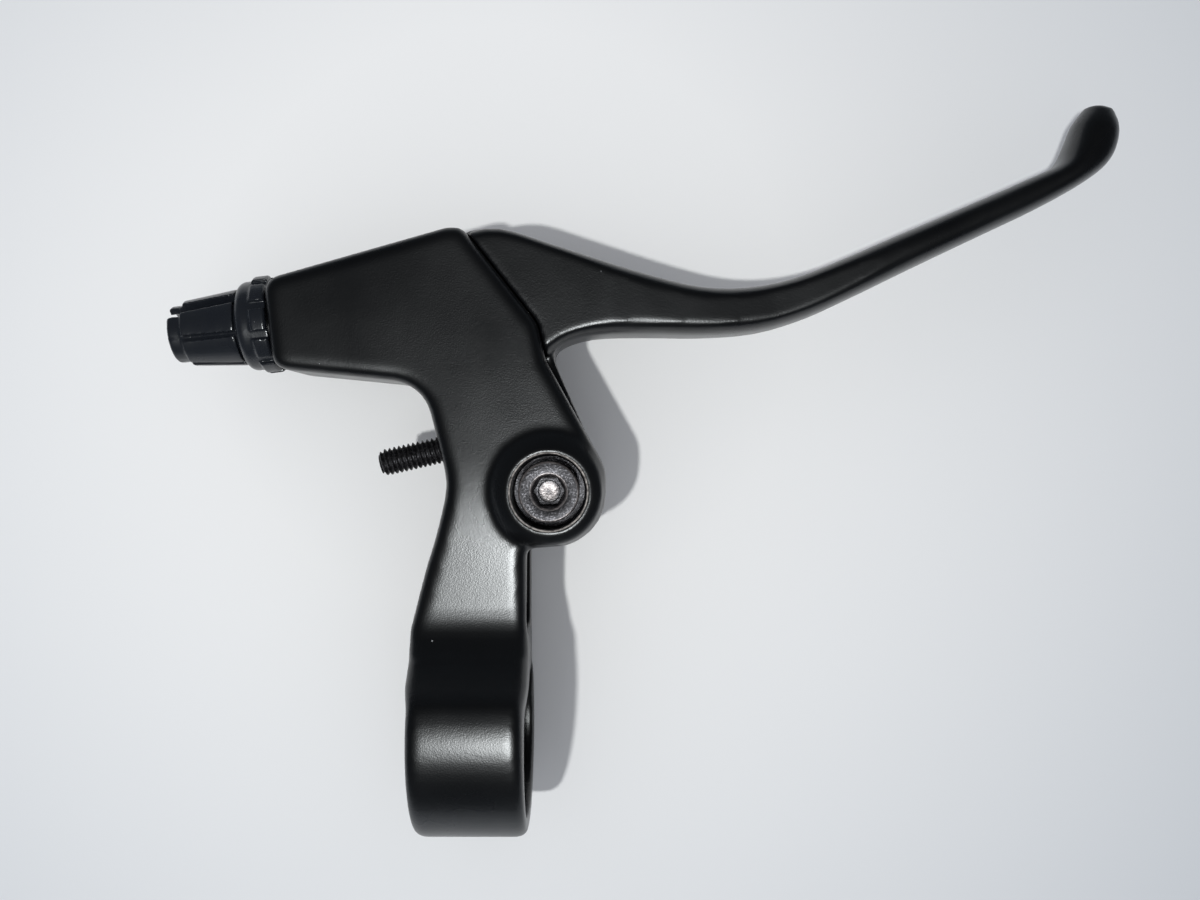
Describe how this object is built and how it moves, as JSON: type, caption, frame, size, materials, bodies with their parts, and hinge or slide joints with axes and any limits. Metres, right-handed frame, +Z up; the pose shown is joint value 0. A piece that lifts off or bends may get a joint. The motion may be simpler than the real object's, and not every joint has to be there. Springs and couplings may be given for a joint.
{
  "type": "bicycle brake lever",
  "caption": "Right-hand cable brake lever for a flat handlebar: hinged band-clamp bracket, curved finger blade, slotted cable adjuster with locking ring, and reach screw.",
  "frame": {"origin": "centre of the handlebar bore in the clamp band", "axes": "+X along the handlebar towards its end, +Y forward, away from the rider, +Z up"},
  "size_m": [0.1373, 0.107, 0.0311],
  "materials": {
    "satin_black_alloy": "satin black paint on die-cast alloy",
    "black_steel": "black oxide, worn on the rims",
    "plated_steel": "zinc plated",
    "bush_plastic": "plain moulded plastic",
    "gloss_black_plastic": "moulded black plastic"
  },
  "bodies": {
    "bracket": {"lever_body": "satin_black_alloy", "pivot_bolt": "black_steel", "pivot_washer": "plated_steel", "pivot_nut": "black_steel", "pivot_sleeve": "plated_steel", "clamp_bolt": "black_steel", "clamp_washer": "plated_steel"},
    "lever": {"lever_blade": "satin_black_alloy", "upper_bush": "bush_plastic", "lower_bush": "bush_plastic"},
    "adjuster": {"barrel_adjuster": "gloss_black_plastic"},
    "ring": {"lock_ring": "gloss_black_plastic"},
    "reach": {"reach_screw": "black_steel"}
  },
  "joints": [
    {"name": "lever_pivot", "type": "hinge", "parent": "bracket", "child": "lever", "pos_m": [0.0112, 0.036, 0], "axis": [0, 0, -1], "range_deg": [0, 36]},
    {"name": "adjuster_travel", "type": "slide", "parent": "bracket", "child": "adjuster", "axis": [-0.9938, -0.1115, 0], "range_m": [0, 0.006]},
    {"name": "ring_turn", "type": "hinge", "parent": "bracket", "child": "ring", "pos_m": [-0.0283, 0.06025, 0], "axis": [-0.9938, -0.1115, 0], "continuous": true},
    {"name": "reach_travel", "type": "slide", "parent": "bracket", "child": "reach", "axis": [-0.9746, -0.2241, 0], "range_m": [0, 0.003]}
  ]
}
